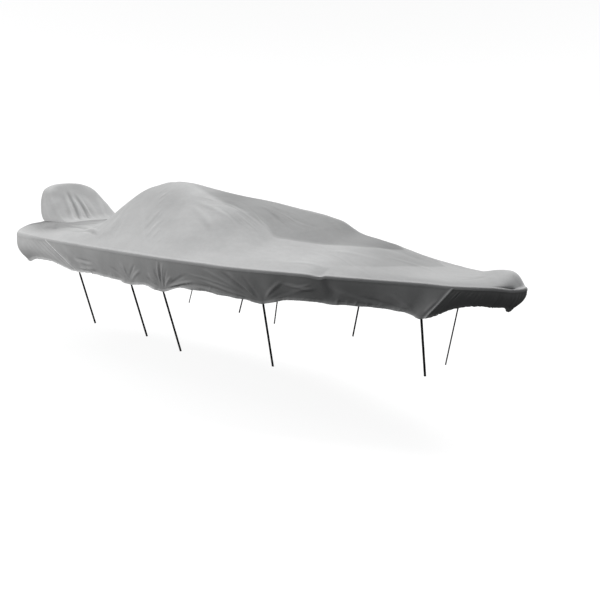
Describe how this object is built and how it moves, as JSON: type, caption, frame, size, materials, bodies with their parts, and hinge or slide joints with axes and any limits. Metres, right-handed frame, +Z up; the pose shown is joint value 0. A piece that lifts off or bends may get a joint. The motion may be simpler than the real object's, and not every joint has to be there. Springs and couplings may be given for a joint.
{
  "type": "boat cover",
  "caption": "Fitted storage cover for an open boat: raised middle, sloping foredeck, hood over the motor, skirt with a scalloped hem and tie-down straps.",
  "frame": {"origin": "the point that holds the cover up, on its centreline 2 mm under the cloth of the crown", "axes": "+X forward to the bow, +Y to port, +Z up"},
  "size_m": [7.548, 2.516, 2.0299],
  "materials": {
    "cover_cloth": "matte coated polyester weave",
    "strap_webbing": "matte ribbed webbing"
  },
  "bodies": {
    "root": {"top": "cover_cloth", "starboard_skirt": "cover_cloth", "port_skirt": "cover_cloth", "stern_panel": "cover_cloth", "bow_panel": "cover_cloth", "stern_hood": "cover_cloth", "strap_starboard_1": "strap_webbing", "strap_starboard_2": "strap_webbing", "strap_starboard_3": "strap_webbing", "strap_starboard_4": "strap_webbing", "strap_starboard_5": "strap_webbing", "strap_port_1": "strap_webbing", "strap_port_2": "strap_webbing", "strap_port_3": "strap_webbing", "strap_port_4": "strap_webbing", "strap_port_5": "strap_webbing"}
  },
  "joints": []
}
